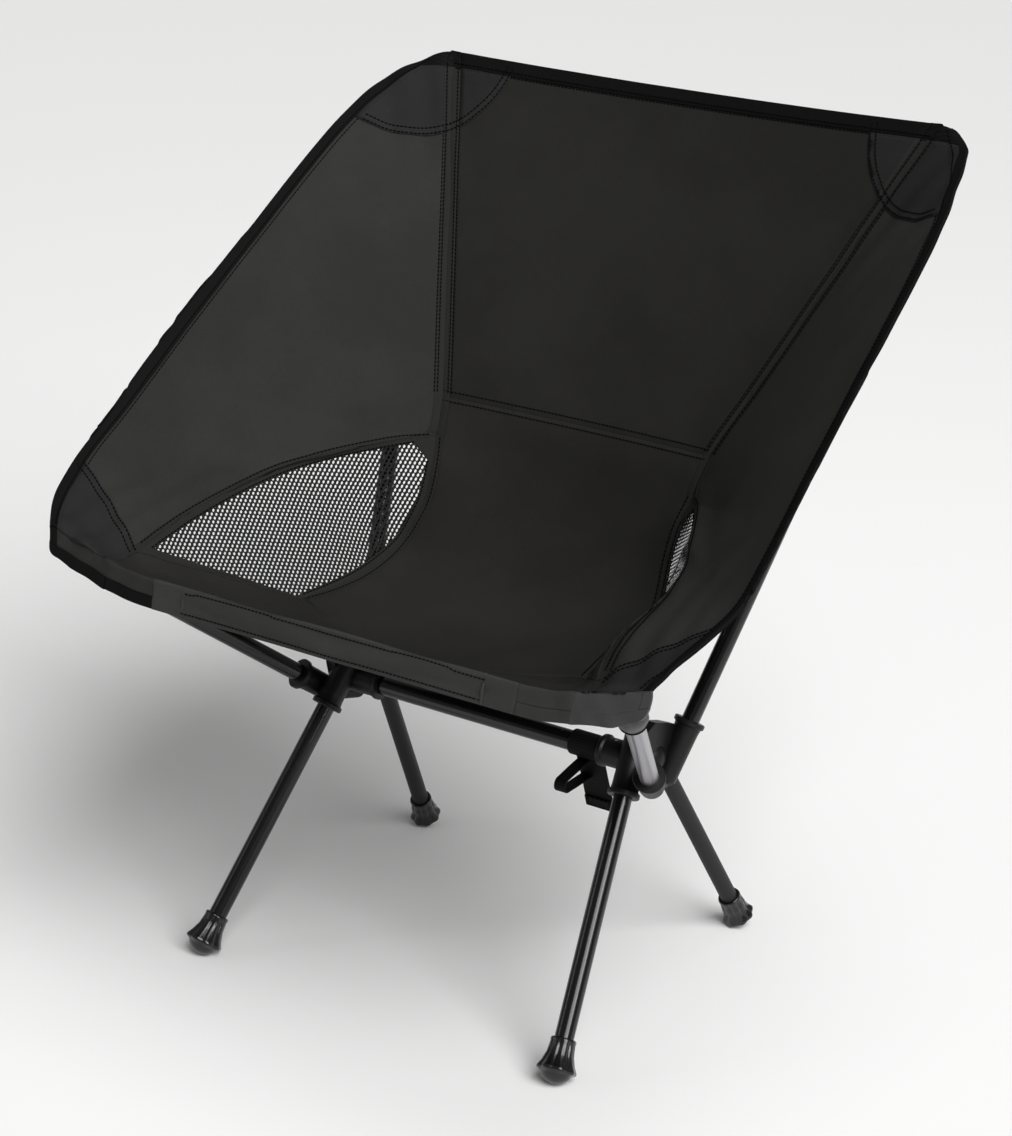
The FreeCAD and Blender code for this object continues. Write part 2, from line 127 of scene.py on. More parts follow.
# a dim white sky that lights the chair, and a pale one that the camera sees
def makeSky():
    world = bpy.data.worlds.new("studio")
    world.use_nodes = True
    tree = world.node_tree
    sky = tree.nodes["Background"]
    sky.inputs["Color"].default_value = (*room["sky"], 1)
    sky.inputs["Strength"].default_value = room["skyStrength"]
    backdrop = tree.nodes.new("ShaderNodeBackground")
    backdrop.inputs["Color"].default_value = (*room["backdrop"], 1)
    rays = tree.nodes.new("ShaderNodeLightPath")
    blend = tree.nodes.new("ShaderNodeMixShader")
    tree.links.new(rays.outputs["Is Camera Ray"], blend.inputs[0])
    tree.links.new(sky.outputs[0], blend.inputs[1])
    tree.links.new(backdrop.outputs[0], blend.inputs[2])
    tree.links.new(blend.outputs[0], tree.nodes["World Output"].inputs[0])
    bpy.context.scene.world = world


for lamp in lamps:
    makeLamp(lamp)
makeSky()
bpy.context.scene.view_settings.view_transform = "Standard"
print("studio lit")


# A shader value. Arithmetic on it adds Math nodes.
class Value:
    def __init__(self, paint, socket):
        self.paint, self.socket = paint, socket

    def calc(self, operation, *terms):
        return self.paint.node("Math", {"operation": operation}, dict(enumerate(terms)))

    def __add__(self, other):
        return self.calc("ADD", self, other)

    def __radd__(self, other):
        return self.calc("ADD", other, self)

    def __sub__(self, other):
        return self.calc("SUBTRACT", self, other)

    def __rsub__(self, other):
        return self.calc("SUBTRACT", other, self)

    def __mul__(self, other):
        return self.calc("MULTIPLY", self, other)

    def __rmul__(self, other):
        return self.calc("MULTIPLY", other, self)

    def __truediv__(self, other):
        return self.calc("DIVIDE", self, other)

    def __pow__(self, other):
        return self.calc("POWER", self, other)

    def wave(self, length):
        return self.calc("SINE", self * (2 * pi / length))

    def least(self, other):
        return self.calc("MINIMUM", self, other)

    def cell(self, length):
        return self.calc("FRACT", self / length)

    # 0 below low, 1 above high
    def step(self, low, high):
        return self.paint.node("MapRange", {"interpolation_type": "SMOOTHSTEP"},
                               {"Value": self, "From Min": low, "From Max": high})


class Paint:
    def __init__(self, name):
        self.material = bpy.data.materials.new(name)
        self.material.use_nodes = True
        self.tree = self.material.node_tree
        self.shader = self.tree.nodes["Principled BSDF"]

    def plug(self, socket, value):
        if isinstance(value, Value):
            self.tree.links.new(value.socket, socket)
        elif hasattr(value, "__len__") and len(value) == 3 and socket.type == "RGBA":
            socket.default_value = (*value, 1)
        else:
            socket.default_value = value

    def node(self, kind, settings=None, inputs=None, output=0):
        made = self.tree.nodes.new("ShaderNode" + kind)
        for name, value in (settings or {}).items():
            setattr(made, name, value)
        for name, value in (inputs or {}).items():
            self.plug(made.inputs[name], value)
        return Value(self, made.outputs[output])

    def set(self, **sockets):
        for name, value in sockets.items():
            self.plug(self.shader.inputs[name.replace("_", " ")], value)
        return self.material

    def place(self):
        return self.node("TexCoord", output="Object")

    def cloth(self):
        return self.node("UVMap", {"uv_map": "cloth"})

    def parts(self, vector):
        return [self.node("SeparateXYZ", {}, {0: vector}, axis) for axis in "XYZ"]

    def grain(self, vector, scale, detail=3.0, rough=0.55):
        inputs = {"Vector": vector, "Scale": scale, "Detail": detail, "Roughness": rough}
        return self.node("TexNoise", {}, inputs, "Fac")

    def stretch(self, vector, scale):
        return self.node("VectorMath", {"operation": "MULTIPLY"}, {0: vector, 1: scale})

    def dot(self, a, b):
        return self.node("VectorMath", {"operation": "DOT_PRODUCT"}, {0: a, 1: b}, "Value")

    # colour a where the mask is 0, b where it is 1
    def mix(self, mask, a, b):
        return self.node("Mix", {"data_type": "RGBA"}, {"Factor": mask, 6: a, 7: b}, 2)

    # a colour's darker shade where the mask is 0, its lighter one where it is 1
    def shades(self, mask, colour, dark, light):
        return self.mix(mask, shade(colour, dark), shade(colour, light))

    def bump(self, height, distance, strength=1.0, under=None):
        inputs = {"Height": height, "Distance": distance, "Strength": strength}
        if under is not None:
            inputs["Normal"] = under
        return self.node("Bump", {}, inputs)


def shade(colour, factor):
    return tuple(min(1.0, c * factor) for c in colour)


# woven cloth: crossing yarns, slubs, dusty folds
def clothMaterial(name, look):
    p = Paint(name)
    uv = p.cloth()
    u, v, _ = p.parts(uv)
    yarn = look["yarn"]
    weave = u.wave(yarn) * v.wave(yarn)
    ribs = u.wave(yarn / 2) * 0.5 + v.wave(yarn / 2) * 0.5
    slubs = [p.grain(p.stretch(uv, scale), 1.0, 3) for scale in ((900, 120, 1), (120, 900, 1))]
    slub = slubs[0] * 0.5 + slubs[1] * 0.5
    cloud = p.grain(p.place(), 9.0, 4)
    lint = p.grain(p.place(), 420.0, 2, 0.7).step(0.66, 0.8)
    tone = slub.step(0.3, 0.7) * 0.4 + weave * 0.15 + cloud.step(0.35, 0.65) * 0.5
    base = p.shades(tone, look["colour"], 0.8, 1.22)
    base = p.mix(lint * 0.12, base, shade(look["colour"], 5))
    height = weave * 0.5 + ribs * 0.25 + slub * 0.6
    coarse = p.bump(p.grain(p.place(), 60.0, 4), 0.0006, 0.5)
    normal = p.bump(height, look["depth"], 0.7, coarse)
    rough = look["rough"] + slub * 0.12 - cloud * 0.06
    return p.set(Base_Color=base, Roughness=rough, Normal=normal, Sheen_Weight=look["sheen"],
                 Sheen_Roughness=0.4, Specular_IOR_Level=look["shine"])


# ribbed tape or webbing, ribs across the given direction
def webbingMaterial(name, look):
    p = Paint(name)
    u, v, _ = p.parts(p.cloth())
    rib = v.wave(look["rib"]) * 0.5 + 0.5
    twill = (u + v * 0.5).wave(look["rib"] * 0.8) * 0.5 + 0.5
    fuzz = p.grain(p.place(), 500.0, 3)
    base = p.shades(rib * 0.6 + fuzz * 0.4, look["colour"], 0.6, 1.5)
    normal = p.bump(rib * 0.7 + twill * 0.3 + fuzz * 0.4, look["depth"], 0.8)
    return p.set(Base_Color=base, Roughness=look["rough"] + fuzz * 0.15, Normal=normal,
                 Specular_IOR_Level=look["shine"])


# open knit: slanted rows of long holes, every other row shifted by half a hole
def meshMaterial(name, look):
    p = Paint(name)
    u, v, _ = p.parts(p.cloth())
    pitch, slant, rows = look["pitch"], look["slant"], look["row"] * 2
    along = u * cos(slant) + v * sin(slant)
    across = v * cos(slant) - u * sin(slant)

    # distance to the nearest hole's middle, 1 at its rim
    def nearest(shift):
        a = (along / pitch + shift).cell(1.0) - 0.5
        b = (across / rows + shift).cell(1.0) - 0.5
        return ((a * (pitch / look["hole"][0])) ** 2 + (b * (rows / look["hole"][1])) ** 2) ** 0.5

    gap = nearest(0.0).least(nearest(0.5))
    solid = gap.step(0.94, 1.06)
    fuzz = p.grain(p.place(), 900.0, 2)
    base = p.shades(fuzz, look["colour"], 0.6, 1.6)
    normal = p.bump(gap.step(1.0, 1.7) + fuzz * 0.3, 0.0005, 0.8)
    p.material.surface_render_method = "DITHERED"
    return p.set(Base_Color=base, Roughness=0.6 + fuzz * 0.2, Normal=normal, Alpha=solid,
                 Specular_IOR_Level=look["shine"])


# anodised or bare tube: drawn lines along its axis, small scuffs
def tubeMaterial(name, look, axis):
    p = Paint(name)
    spot = p.place()
    along = Vector(axis).normalized()
    side = along.orthogonal().normalized()
    flow, first, second = (p.dot(spot, d) for d in (along, side, along.cross(side)))
    lines = p.grain(p.node("CombineXYZ", {}, {0: flow * 14.0, 1: first * 2600.0, 2: second * 2600.0}), 1.0, 3)
    scuff = p.grain(spot, 240.0, 4, 0.7).step(0.66, 0.72)
    cloud = p.grain(spot, 18.0, 3)
    base = p.shades(lines * 0.7 + cloud * 0.3, look["colour"], 0.8, 1.25)
    base = p.mix(scuff * look["scuff"], base, look["scuffColour"])
    normal = p.bump(lines + scuff * 0.4, look["depth"], 0.6)
    rough = look["rough"] + lines * 0.08 + scuff * 0.2 + cloud * 0.04
    return p.set(Base_Color=base, Roughness=rough, Normal=normal, Metallic=look["metal"],
                 Coat_Weight=look["coat"], Coat_Roughness=0.12, Specular_IOR_Level=look["shine"])


# moulded nylon or rubber: fine mould grain, flow marks, dust in the low spots
def mouldedMaterial(name, look):
    p = Paint(name)
    spot = p.place()
    grain = p.grain(spot, look["grain"], 3, 0.6)
    cloud = p.grain(spot, 25.0, 4)
    dust = p.grain(spot, 600.0, 2, 0.8).step(0.68, 0.78)
    base = p.shades(cloud, look["colour"], 0.7, 1.35)
    base = p.mix(dust * look["dust"], base, dustColour)
    normal = p.bump(grain + cloud * 0.5, look["depth"], 0.7)
    rough = look["rough"] + grain * 0.12 + cloud * 0.08 - 0.1
    return p.set(Base_Color=base, Roughness=rough, Normal=normal, Coat_Weight=look["coat"],
                 Coat_Roughness=0.2, Specular_IOR_Level=look["shine"])


# braided elastic cord
def braidMaterial(name, colour):
    p = Paint(name)
    x, y, z = p.parts(p.place())
    braid = (x + z).wave(0.0012) * (y - z).wave(0.0012) * 0.5 + 0.5
    base = p.shades(braid, colour, 0.5, 1.8)
    return p.set(Base_Color=base, Roughness=0.7 - braid * 0.1, Normal=p.bump(braid, 0.0003, 0.8))


dustColour = (0.22, 0.21, 0.20)
plainCloth = {"yarn": 0.0011, "depth": 0.00022, "rough": 0.68, "sheen": 0.0, "shine": 0.08}
clothLooks = {
    "side_fabric": {**plainCloth, "colour": (0.0235, 0.0235, 0.0222), "rough": 0.66, "shine": 0.10},
    "back_fabric": {**plainCloth, "colour": (0.0165, 0.0162, 0.0150)},
    "seat_fabric": {**plainCloth, "colour": (0.0185, 0.0178, 0.0170)},
    "patch_fabric": {**plainCloth, "colour": (0.0150, 0.0150, 0.0152), "rough": 0.64, "shine": 0.12},
    "front_band": {**plainCloth, "colour": (0.0330, 0.0330, 0.0315), "depth": 0.00025, "rough": 0.62,
                   "shine": 0.16},
    "pocket_fabric": {"colour": (0.0240, 0.0240, 0.0240), "yarn": 0.0008, "depth": 0.00012, "rough": 0.38,
                      "sheen": 0.05, "shine": 0.45},
}
webbingLooks = {
    "binding": {"colour": (0.0035, 0.0035, 0.0035), "rib": 0.0011, "depth": 0.00025, "rough": 0.6,
                "shine": 0.07},
    "seam_tape": {"colour": (0.0165, 0.0165, 0.0155), "rib": 0.0012, "depth": 0.00015, "rough": 0.66,
                  "shine": 0.08},
    "strap_webbing": {"colour": (0.0030, 0.0030, 0.0032), "rib": 0.0016, "depth": 0.0004, "rough": 0.5,
                      "shine": 0.10},
    "thread": {"colour": (0.0018, 0.0018, 0.0018), "rib": 0.0009, "depth": 0.0002, "rough": 0.6,
               "shine": 0.05},
}
meshLook = {"colour": (0.012, 0.012, 0.012), "pitch": 0.0036, "hole": (0.00142, 0.00096), "row": 0.0035,
            "slant": 1.75, "shine": 0.12}
glossBlack = {"colour": (0.0030, 0.0030, 0.0033), "rough": 0.13, "metal": 0.0, "coat": 0.25, "depth": 0.00004,
              "shine": 0.32, "scuff": 0.25, "scuffColour": (0.05, 0.05, 0.05)}
satinGrey = {"colour": (0.016, 0.015, 0.017), "rough": 0.44, "metal": 0.0, "coat": 0.0, "depth": 0.00005,
             "shine": 0.22, "scuff": 0.3, "scuffColour": (0.08, 0.08, 0.08)}
# bare silver metal for the ferrules and pins; on the right front pole the same silver is a painted reflection
silverAndPaintedReflection = {"colour": (0.34, 0.33, 0.36), "rough": 0.27, "metal": 1.0, "coat": 0.0, "depth": 0.00008,
              "shine": 0.5, "scuff": 0.5, "scuffColour": (0.16, 0.155, 0.16)}
mouldedLooks = {
    "nylon": {"colour": (0.0058, 0.0058, 0.0062), "grain": 1400.0, "depth": 0.00012, "rough": 0.42,
              "dust": 0.2, "coat": 0.03, "shine": 0.22},
    "rubber": {"colour": (0.0045, 0.0045, 0.0047), "grain": 1100.0, "depth": 0.00006, "rough": 0.20,
               "dust": 0.6, "coat": 0.25, "shine": 0.4},
}
cordColour = (0.03, 0.03, 0.03)
tubeFinishes = {"front_leg": glossBlack, "rear_leg": satinGrey, "rear_pole_lower": glossBlack,
                "rear_pole_upper": glossBlack, "rear_pole_ferrule": silverAndPaintedReflection}
mouldedParts = {"nylon": ("hub", "front_tip_cap", "rear_tip_cap"),
                "rubber": ("front_foot", "rear_foot", "front_sole", "rear_sole"),
                "cord": ("front_leg_cord", "rear_leg_cord", "hub_leg_cord", "pole_cord")}


# a tube's own axis, from the middles of its node's two end caps
def tubeAxis(node):
    points = [v.co for v in nodes[node].data.vertices]
    centre = sum(points, Vector()) / len(points)
    far = max(points, key=lambda p: (p - centre).length)
    half = [p for p in points if (p - centre).dot(far - centre) > 0]
    return (sum(half, Vector()) / len(half) - centre).normalized()


def coat(node, material):
    thing = nodes[node]
    thing.data.materials.clear()
    thing.data.materials.append(material)
    for face in thing.data.polygons:
        face.material_index = 0


materials = {"mesh": meshMaterial("mesh", meshLook), "cord": braidMaterial("cord", cordColour)}
makers = ((clothMaterial, clothLooks), (webbingMaterial, webbingLooks), (mouldedMaterial, mouldedLooks))
for make, looks in makers:
    materials.update({name: make(name, look) for name, look in looks.items()})


def coatTube(node, look, axis=None):
    coat(node, tubeMaterial(node, look, axis or tubeAxis(node)))


for side in signs:
    for part, look in tubeFinishes.items():
        coatTube(part + "_" + side, look)
    for finish, parts in mouldedParts.items():
        for part in parts:
            coat(part + "_" + side, materials[finish])
# the front poles are a mirrored pair of one make: the right one gets silver and the left gloss black, so the
# right pole's silver is a painted reflection of the studio light
coatTube("front_pole_right", silverAndPaintedReflection)
coatTube("front_pole_left", glossBlack)
coatTube("crossbar", glossBlack, (1, 0, 0))
coatTube("crossbar_pins", silverAndPaintedReflection, (0, 0, 1))
print("finishes made")


def makeObject(name, points, faces, material, body="frame"):
    mesh = bpy.data.meshes.new(name)
    mesh.from_pydata([tuple(p) for p in points], [], faces)
    mesh.validate()
    mesh.materials.append(material)
    thing = bpy.data.objects.new(name, mesh)
    bpy.context.scene.collection.objects.link(thing)
    mesh.polygons.foreach_set("use_smooth", [True] * len(mesh.polygons))
    if body:
        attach(thing, body)
    return thing


def writeUV(thing, uvOf):
    layer = thing.data.uv_layers.new(name="cloth")
    for loop in thing.data.loops:
        layer.data[loop.index].uv = uvOf(loop.vertex_index)


# UVs of a mesh made of rows of n points, a given step across and along
def writeGrid(thing, n, across, along):
    writeUV(thing, lambda i: (across * (i % n), along * (i // n)))


def thicken(thing, amount):
    shell = thing.modifiers.new("thickness", "SOLIDIFY")
    shell.thickness = amount
    shell.offset = 0


def roundEdges(thing, width, segments, limit=50):
    edge = thing.modifiers.new("rounded", "BEVEL")
    edge.width = width
    edge.segments = segments
    edge.limit_method = "ANGLE"
    edge.angle_limit = radians(limit)


# a smooth curve from b, where t is 0, to c, where t is 1
def catmull(a, b, c, d, t):
    return 0.5 * ((2 * b) + (c - a) * t + (2 * a - 5 * b + 4 * c - d) * t * t
                  + (3 * b - a - 3 * c + d) * t ** 3)


# evenly spaced points along a smooth line through the given ones
def smoothLine(points, spacing):
    padded = [points[0]] + list(points) + [points[-1]]
    dense = []
    for a, b, c, d in zip(padded, padded[1:], padded[2:], padded[3:]):
        steps = max(2, int((c - b).length / spacing * 3))
        dense += [catmull(a, b, c, d, i / steps) for i in range(steps)]
    dense.append(points[-1])
    even, left = [dense[0]], spacing
    for a, b in zip(dense, dense[1:]):
        span = (b - a).length
        while span >= left:
            a = a + (b - a) * (left / span)
            even.append(a)
            span = (b - a).length
            left = spacing
        left -= span
    return even


# the sling's right half: rows run from the middle outwards, stations from back to front
sling = {
    "back": [(at(0, 274, 627), at(224, 258, 634)), (at(0, 111, 393), at(125, 101, 396))],
    "backShares": [0, 0.045, 0.2, 0.36, 0.52, 0.68, 0.84, 1],
    "backBelly": 0.006,
    # each row's middle, back and up, then its end on the right
    "seat": [
        (111, 393, 125, 101, 396), (100, 362, 121, 84, 368), (86, 334, 116, 72, 348),
        (68, 308, 115, 60, 324), (45, 287, 118, 48, 306), (18, 272, 121, 34, 292), (-14, 265, 121, 8, 285),
        (-45, 264, 121, -18, 282), (-73, 267, 124, -42, 280.5), (-97, 273, 128, -62, 280),
        (-113, 278, 131, -76, 280.3), (-120, 281, 132, -82, 280.6),
    ],
    "windowTop": [
        (121, 84, 368), (134, 68, 369), (147, 45, 369), (160, 20, 368.5), (172, -4, 367), (184, -28, 364),
        (192, -56, 360.5), (199, -88, 355), (205, -128, 347), (209.5, -169, 335.8), (210, -175, 334),
    ],
    "outline": [
        (236.5, 253.5, 629), (250.5, 241.5, 626.5), (268, 216, 616), (280, 186, 601), (282, 130, 565),
        (284, 60, 520), (286.5, -2, 482), (289, -45, 454), (290, -66, 440), (290.5, -82, 428),
        (291, -98, 417), (292, -113, 407), (293, -128, 398), (292.5, -140, 392), (290, -153, 387),
        (286.5, -165, 382), (284, -173, 378.5), (282, -180, 375.5), (280, -187, 372.5),
        (276.5, -195, 368.5), (272, -203, 364), (263, -213, 357),
    ],
    "tapeWidth": 0.006, "bindingWidth": 0.009, "hemHeight": 0.021, "frontSag": 0.004,
    "rowSteps": [0, 0.34, 0.68], "sideSteps": [0.36, 0.66],
}
frontEdge = {
    "level": 0.313, "rise": 0.021, "flatHalf": 0.165, "endHalf": 0.255, "foldY": -209, "lowerY": -215,
    "foldHalf": 0.215, "cornerX": 0.240, "undercut": 0.003, "middle": 0.58,
}
thickness = {"side_fabric": 0.0008, "back_fabric": 0.0008, "seat_fabric": 0.0008, "front_band": 0.0022,
             "pocket_fabric": 0.0022, "binding": 0.0026, "seam_tape": 0.0016, "mesh": 0.0007}


def partWay(row, other, share):
    return [p.lerp(q, share) for p, q in zip(row, other)]


def toward(a, b, distance):
    return a + (b - a) * min(distance / (b - a).length, 0.3)


def curvedRow(centre, end, belly=0.0):
    row = []
    for s in sling["rowSteps"]:
        bend = s * s
        row.append(Vector((centre.x + (end.x - centre.x) * s,
                           centre.y + (end.y - centre.y) * bend + belly * (1 - bend),
                           centre.z + (end.z - centre.z) * bend)))
    return row + [toward(end, row[-1], sling["tapeWidth"]), end]


def crossingRow(a, b, lastWidth):
    between = [a + (b - a) * s for s in sling["sideSteps"]]
    return [a, toward(a, b, sling["tapeWidth"])] + between + [toward(b, a, lastWidth), b]


def edgeHeight(x):
    beyond = max(0.0, x - frontEdge["flatHalf"]) / (frontEdge["endHalf"] - frontEdge["flatHalf"])
    return frontEdge["level"] + frontEdge["rise"] * beyond ** 2


def foldPoint(x):
    return at(x * 1000, frontEdge["foldY"], (edgeHeight(x) + sling["hemHeight"]) * 1000)


def lowerPoint(x):
    return at(x * 1000, frontEdge["lowerY"], edgeHeight(x) * 1000)


backGrid = []
(topMiddle, topEnd), (lowMiddle, lowEnd) = sling["back"]
for share in sling["backShares"]:
    backGrid.append(curvedRow(topMiddle.lerp(lowMiddle, share), topEnd.lerp(lowEnd, share),
                              sling["backBelly"] * sin(pi * share)))
seat = [(at(0, y, z), at(*end)) for y, z, *end in sling["seat"]]
windowTop = [at(*p) for p in sling["windowTop"]]
seatGrid = [curvedRow(a, b) for a, b in seat]
windowGrid = [crossingRow(row[1], top, sling["tapeWidth"])
              for row, top in zip(seat[2:], windowTop[1:])]
strip = seatGrid[-1] + windowGrid[-1][1:]
fold = [foldPoint(p.x * frontEdge["foldHalf"] / strip[-1].x) for p in strip]
ramp = [(a + b) / 2 - Vector((0, 0, sling["frontSag"])) for a, b in zip(strip, fold)]
outline = [at(*p) for p in sling["outline"]]
for _ in range(2):
    between = [(a + 2 * b + c) / 4 for a, b, c in zip(outline, outline[1:], outline[2:])]
    outline = outline[:1] + between + outline[-1:]
innerEdge = [row[-1] for row in backGrid] + windowTop
innerEdge += [ramp[-1], fold[-1], foldPoint(frontEdge["cornerX"])]
sideGrid = [crossingRow(a, b, sling["bindingWidth"]) for a, b in zip(innerEdge, outline)]
hemTop = fold + sideGrid[-1]
hemLow = [lowerPoint(p.x - frontEdge["undercut"] * (p.x / frontEdge["endHalf"]) ** 2) for p in hemTop]
hemRows = [hemTop, partWay(hemTop, hemLow, frontEdge["middle"]), hemLow]
bandEnd, sleeveStart = 6, 8     # hem stations where the side fabric and the sleeve's cloth begin


def cells(rows, rowRange, columnRange):
    return [[rows[i][j], rows[i][j + 1], rows[i + 1][j + 1], rows[i + 1][j]]
            for i in rowRange for j in columnRange]


rearCorner = len(backGrid) - 1     # the side's station at the seat and back seam
windowEnd = rearCorner + 1 + len(windowGrid)
sideEnd = len(sideGrid) - 1
lastWindow = len(windowGrid) - 1
fan = [[windowTop[0], windowGrid[0][j + 1], windowGrid[0][j]] for j in range(5)]
cutFrom = {
    "top_hem": cells(backGrid, [0], range(3)),
    "back_panel": cells(backGrid, range(1, rearCorner), range(3)),
    "seat_panel": cells(seatGrid, range(len(seatGrid) - 1), range(3))
    + cells([strip, ramp, fold], range(2), range(9)),
    "front_hem": cells(hemRows, range(2), range(bandEnd)),
    "side_panel": cells(sideGrid, range(1, sideEnd), range(1, 4))
    + cells(sideGrid, range(windowEnd, sideEnd), [0]),
    "side_binding": cells(sideGrid, range(sideEnd), [4]) + cells(sideGrid, [0], range(4))
    + cells(backGrid, [0], [3]),
    "turn_upper": cells(hemRows, [0], range(bandEnd, sleeveStart)),
    "turn_lower": cells(hemRows, [1], range(bandEnd, sleeveStart)),
    "corner_lower": cells(hemRows, [1], range(sleeveStart, len(hemTop) - 1)),
    "corner_upper": cells(hemRows, [0], range(sleeveStart, len(hemTop) - 2)),
    "corner_end": cells(hemRows, [0], [len(hemTop) - 2]),
    "back_seam_tape": cells(backGrid, range(1, rearCorner), [3])
    + cells(sideGrid, range(1, rearCorner + 1), [0]) + cells(seatGrid, [0], [3]),
    "mesh_tape": cells(seatGrid, range(1, len(seatGrid) - 1), [3])
    + cells(sideGrid, range(rearCorner + 1, windowEnd), [0])
    + cells(windowGrid, range(lastWindow), [0, 4]) + cells(windowGrid, [lastWindow - 1], range(1, 4)) + fan,
    "mesh_window": cells(windowGrid, range(lastWindow - 1), range(1, 4)),
}
wholePieces = ["back_panel", "seat_panel", "top_hem", "front_hem"]


def keyOf(p):
    return (round(p.x, 5), round(p.y, 5), round(p.z, 5))


# one mesh of the whole sling; each face knows its piece
def slingCage():
    points, index, faces, owners, pieces = [], {}, [], [], []

    def add(face, owner):
        corners = []
        for p in face:
            if keyOf(p) not in index:
                index[keyOf(p)] = len(points)
                points.append(p.copy())
            if index[keyOf(p)] not in corners:
                corners.append(index[keyOf(p)])
        if len(corners) > 2:
            faces.append(corners[::-1])
            owners.append(pieces.index(owner))

    for piece, quads in cutFrom.items():
        halves = [piece, piece] if piece in wholePieces else [piece + "_right", piece + "_left"]
        pieces += dict.fromkeys(halves)
        for quad in quads:
            add(quad, halves[0])
            add([mirrorX(p) for p in reversed(quad)], halves[1])
    creased = set()
    for a, b in zip(hemTop, hemTop[1:]):
        for p, q in ((a, b), (mirrorX(a), mirrorX(b))):
            creased.add(frozenset((index[keyOf(p)], index[keyOf(q)])))
    return points, faces, owners, pieces, creased


def evaluated(thing):
    bpy.context.view_layer.update()
    return thing.evaluated_get(bpy.context.evaluated_depsgraph_get())


smoothing = {"levels": 3, "passes": 3, "pull": 0.85, "crease": 0.75}


# subdivides the cage into a smooth surface that still passes through the cage's points
def smoothSling():
    points, faces, owners, pieces, creased = slingCage()
    mesh = bpy.data.meshes.new("slingCage")
    mesh.from_pydata([tuple(p) for p in points], [], faces)
    mesh.polygons.foreach_set("material_index", owners)
    for _ in pieces:
        mesh.materials.append(None)
    crease = mesh.attributes.new("crease_edge", "FLOAT", "EDGE")
    for edge in mesh.edges:
        crease.data[edge.index].value = smoothing["crease"] if frozenset(edge.vertices) in creased else 0.0
    cage = bpy.data.objects.new("slingCage", mesh)
    bpy.context.scene.collection.objects.link(cage)
    smooth = cage.modifiers.new("smooth", "SUBSURF")
    smooth.subdivision_type = "CATMULL_CLARK"
    smooth.levels = smooth.render_levels = 1
    smooth.boundary_smooth = "ALL"
    for _ in range(smoothing["passes"]):
        shown = evaluated(cage)
        got = shown.to_mesh()
        moved = [got.vertices[i].co.copy() for i in range(len(points))]
        shown.to_mesh_clear()
        for vertex, want, have in zip(mesh.vertices, points, moved):
            vertex.co = vertex.co + (want - have) * smoothing["pull"]
    smooth.levels = smoothing["levels"]
    shown = evaluated(cage)
    surface = bpy.data.meshes.new_from_object(shown)
    bpy.data.objects.remove(cage)
    return surface, pieces


# stitched reinforcements over the pockets: the ball that cuts each out of the cloth, what it lies on,
# and the ends of its stitched edge
patches = [
    {"name": "top", "centre": at(262, 262, 640), "reach": 0.098, "on": ("side_panel", "back_panel"),
     "ends": (at(262, 185, 590), at(150, 262, 628))},
    {"name": "front", "centre": at(454.6, -724.7, 330.3), "reach": 0.6018, "on": ("side_panel",),
     "ends": (at(284, -150, 383), at(210, -175, 334))},
]
# soft folds pulled out of the corners and along the window
tensionFolds = [
    {"centre": at(225, -170, 350), "along": (0.35, -0.75, -0.5), "reach": (0.075, 0.045),
     "pitch": 0.027, "height": 0.0013},
    {"centre": at(235, 205, 598), "along": (0.55, 0.55, 0.62), "reach": (0.08, 0.05),
     "pitch": 0.030, "height": 0.0010},
    {"centre": at(165, -20, 385), "along": (0.35, -0.9, 0.1), "reach": (0.11, 0.025),
     "pitch": 0.034, "height": 0.0010},
    {"centre": at(70, -165, 318), "along": (1.0, 0.1, 0.1), "reach": (0.12, 0.030),
     "pitch": 0.026, "height": 0.0009},
]
# the pole tips push the cloth out a little and keep it smooth around them
tipBulge = {"tips": [at(236, 257, 615), at(250, -206, 336)], "calm": 0.05, "height": 0.0030, "reach": 0.014}
# slow and quick unevenness: how often, how high and where its pattern starts
ripples = [(9.0, 0.0012, Vector((0, 0, 0))), (26.0, 0.0005, Vector((3, 1, 7)))]
foldDrift = {"scale": 14.0, "turn": 1.5}
# where the right side hangs slacker than the left: middle, shift and reach in metres
settling = [
    {"middle": at(206, -138, 344), "shift": (-0.015, 0.002, 0.0), "reach": 0.050},
    {"middle": at(240, -214, 326), "shift": (0.0, 0.006, -0.006), "reach": 0.017},
    {"middle": at(262, -214, 350), "shift": (0.009, 0.003, 0.0), "reach": 0.018},
    {"middle": at(256, 240, 624), "shift": (0.007, 0.002, 0.002), "reach": 0.026},
]


# 1 at the middle, fading to nothing over the reach
def fade(distance, reach):
    return exp(-(distance / reach) ** 2)


def foldHeight(p, normal):
    q = Vector((abs(p.x), p.y, p.z))
    toTips = [(q - tip).length for tip in tipBulge["tips"]]
    calm = 1 - max(fade(d, tipBulge["calm"]) for d in toTips)
    total = calm * sum(noise.noise(p * scale + start) * height for scale, height, start in ripples)
    for d in toTips:
        total += tipBulge["height"] * fade(d, tipBulge["reach"])
    for f in tensionFolds:
        along = Vector(f["along"]).normalized()
        across = along.cross(normal if p.x > 0 else mirrorX(normal)).normalized()
        offset = q - f["centre"]
        s, t = offset.dot(along), offset.dot(across)
        weight = exp(-(s / f["reach"][0]) ** 2 - (t / f["reach"][1]) ** 2)
        drift = noise.noise(p * foldDrift["scale"]) * foldDrift["turn"]
        total += f["height"] * weight * cos(2 * pi * t / f["pitch"] + drift)
    return total


def settled(p):
    shift = Vector((0, 0, 0))
    for dip in settling:
        shift += Vector(dip["shift"]) * fade((p - dip["middle"]).length, dip["reach"])
    return p + shift


surface, pieceNames = smoothSling()
normals = [v.normal.copy() for v in surface.vertices]
for vertex, normal in zip(surface.vertices, normals):
    p = vertex.co.copy()
    vertex.co = settled(p + normal * foldHeight(p, normal))
surface.update()
print("sling surface:", len(surface.vertices), "points")


